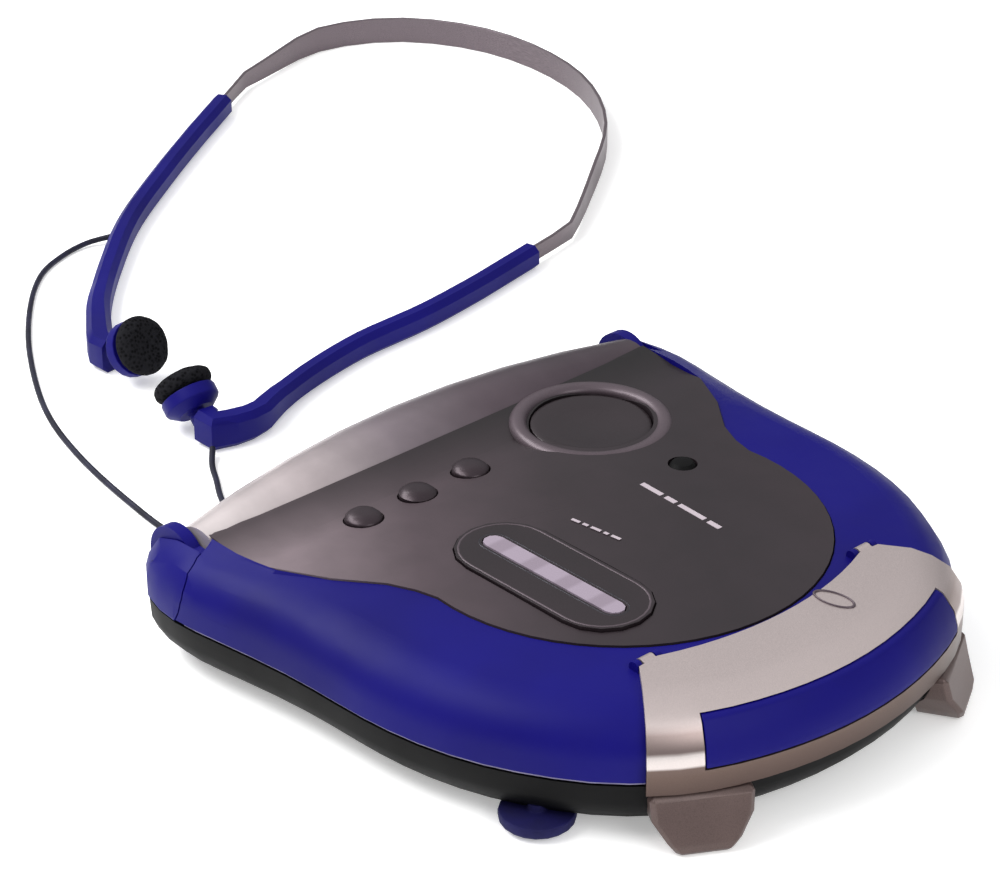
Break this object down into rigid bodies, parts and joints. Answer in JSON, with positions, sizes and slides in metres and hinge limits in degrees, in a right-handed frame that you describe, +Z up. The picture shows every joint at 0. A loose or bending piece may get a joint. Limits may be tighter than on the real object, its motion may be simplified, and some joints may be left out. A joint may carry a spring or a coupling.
{
  "type": "portable cd player",
  "caption": "Flat portable CD player with a bowed hinge barrel, a round control panel, a front clasp, and small headphones on a thin cord.",
  "frame": {"origin": "on the casing's flat underside, below the middle of the round control panel; the feet reach 4 mm lower", "axes": "+X from the hinge barrel to the front clasp, +Y to the far side where the wheel and switch are, +Z up"},
  "size_m": [0.3767, 0.2878, 0.0338],
  "materials": {
    "blue_abs": "injection-moulded ABS, soft gloss",
    "black_abs": "injection-moulded ABS, fine grain",
    "gunmetal_paint": "satin metallic paint on a plastic moulding",
    "champagne_paint": "fine metallic paint on a plastic moulding",
    "dark_silver_paint": "dark satin metallic paint",
    "rubber": "moulded rubber, dull",
    "seal_rubber": "moulded seal, dull",
    "steel": "plain steel",
    "circuit_board": "green solder mask",
    "lens_glass": "coated lens",
    "display_window": "clear window over a reflective liquid crystal",
    "ear_foam": "open-cell foam",
    "band_paint": "painted spring steel strip",
    "cell_sleeve": "shrink sleeve",
    "cord_jacket": "soft PVC jacket",
    "plated_contact": "plated spring strip"
  },
  "bodies": {
    "base": {"barrel_cover": "champagne_paint", "base_shell": "black_abs", "battery_cell_front": "cell_sleeve", "battery_cell_rear": "cell_sleeve", "battery_contact": "plated_contact", "bumper_far": "dark_silver_paint", "bumper_near": "dark_silver_paint", "cord_coil": "cord_jacket", "cord_split": "cord_jacket", "damper_1": "rubber", "damper_2": "rubber", "damper_3": "rubber", "dc_jack": "black_abs", "deck_plate": "black_abs", "drive_chassis": "steel", "end_cap_far": "blue_abs", "end_cap_near": "blue_abs", "foot_front_far": "rubber", "foot_front_near": "rubber", "foot_rear_far": "rubber", "foot_rear_near": "rubber", "guide_rod": "steel", "headband": "band_paint", "headphone_jack": "black_abs", "hinge_shaft": "steel", "hinge_spring": "steel", "lead_left": "cord_jacket", "lead_right": "cord_jacket", "lid_gasket": "seal_rubber", "main_board": "circuit_board", "plug_cord": "cord_jacket", "sled_motor": "steel", "spindle_motor": "steel"},
    "lid": {"lid_shell": "blue_abs", "lid_panel": "gunmetal_paint", "lid_liner": "black_abs", "display_bezel": "gunmetal_paint", "display_window": "display_window", "control_board": "circuit_board"},
    "clasp": {"clasp_frame": "champagne_paint", "clasp_insert": "blue_abs"},
    "button_near": {"button_1": "gunmetal_paint"},
    "button_mid": {"button_2": "gunmetal_paint"},
    "button_far": {"button_3": "gunmetal_paint"},
    "mode_key": {"mode_button": "black_abs"},
    "pad": {"control_pad": "gunmetal_paint"},
    "turntable_rotor": {"turntable": "black_abs"},
    "sled": {"pickup_sled": "black_abs", "pickup_lens": "lens_glass"},
    "screw": {"lead_screw": "steel"},
    "door": {"battery_door": "black_abs"},
    "wheel": {"volume_wheel": "black_abs"},
    "hold_slider": {"hold_switch": "champagne_paint"},
    "plug": {"headphone_plug": "cord_jacket"},
    "slider_left": {"arm_left": "blue_abs"},
    "slider_right": {"arm_right": "blue_abs"},
    "ear_left": {"ear_housing_left": "blue_abs", "ear_pad_left": "ear_foam"},
    "ear_right": {"ear_housing_right": "blue_abs", "ear_pad_right": "ear_foam"}
  },
  "joints": [
    {"name": "lid_hinge", "type": "hinge", "parent": "base", "child": "lid", "pos_m": [-0.0655, 0, 0.0179], "axis": [0, -1, 0], "range_deg": [0, 75]},
    {"name": "clasp_hinge", "type": "hinge", "parent": "lid", "child": "clasp", "pos_m": [0.0416, 0, 0.0263], "axis": [0, -1, 0], "range_deg": [0, 70]},
    {"name": "key_near", "type": "slide", "parent": "lid", "child": "button_near", "axis": [0, 0, -1], "range_m": [0, 0.0006], "stiffness_N_per_m": 200, "springref_m": -0.0005},
    {"name": "key_mid", "type": "slide", "parent": "lid", "child": "button_mid", "axis": [0, 0, -1], "range_m": [0, 0.0006], "stiffness_N_per_m": 200, "springref_m": -0.0005},
    {"name": "key_far", "type": "slide", "parent": "lid", "child": "button_far", "axis": [0, 0, -1], "range_m": [0, 0.0006], "stiffness_N_per_m": 200, "springref_m": -0.0005},
    {"name": "mode_press", "type": "slide", "parent": "lid", "child": "mode_key", "axis": [0, 0, -1], "range_m": [0, 0.0006], "stiffness_N_per_m": 200, "springref_m": -0.0005},
    {"name": "pad_tilt", "type": "hinge", "parent": "lid", "child": "pad", "pos_m": [-0.039, 0.0305, 0.0235], "axis": [0, 1, 0], "range_deg": [-3, 3], "stiffness_Nm_per_rad": 0.05},
    {"name": "disc_spin", "type": "hinge", "parent": "base", "child": "turntable_rotor", "pos_m": [0.006, 0, 0.01], "axis": [0, 0, 1], "continuous": true},
    {"name": "sled_slide", "type": "slide", "parent": "base", "child": "sled", "axis": [0, -1, 0], "range_m": [0, 0.03]},
    {"name": "screw_spin", "type": "hinge", "parent": "base", "child": "screw", "pos_m": [0.018, 0, 0.006], "axis": [0, 1, 0], "range_deg": [-5, 3605]},
    {"name": "door_slide", "type": "slide", "parent": "base", "child": "door", "axis": [0, -1, 0], "range_m": [0, 0.045]},
    {"name": "volume_turn", "type": "hinge", "parent": "base", "child": "wheel", "pos_m": [0.002, 0.06548, 0.0055], "axis": [0, 0, 1], "range_deg": [-150, 150]},
    {"name": "hold_slide", "type": "slide", "parent": "base", "child": "hold_slider", "axis": [1, 0, 0], "range_m": [-0.002, 0.002]},
    {"name": "plug_pull", "type": "slide", "parent": "base", "child": "plug", "axis": [-1, 0, 0], "range_m": [0, 0.016]},
    {"name": "arm_left_slide", "type": "slide", "parent": "base", "child": "slider_left", "axis": [0.5291, -0.8485, 0], "range_m": [-0.014, 0]},
    {"name": "arm_right_slide", "type": "slide", "parent": "base", "child": "slider_right", "axis": [0.1961, -0.9806, 0], "range_m": [-0.014, 0]},
    {"name": "ear_left_swivel", "type": "hinge", "parent": "slider_left", "child": "ear_left", "pos_m": [-0.17733, 0.00025, 0.00128], "axis": [0, 0, 1], "range_deg": [-12, 12]},
    {"name": "ear_right_swivel", "type": "hinge", "parent": "slider_right", "child": "ear_right", "pos_m": [-0.13631, -0.00544, 0.0001], "axis": [0, 0, 1], "range_deg": [-12, 12]}
  ],
  "couplings": [
    {"joint": "screw_spin", "follows": "sled_slide", "rad_per_m": 2094.4}
  ]
}
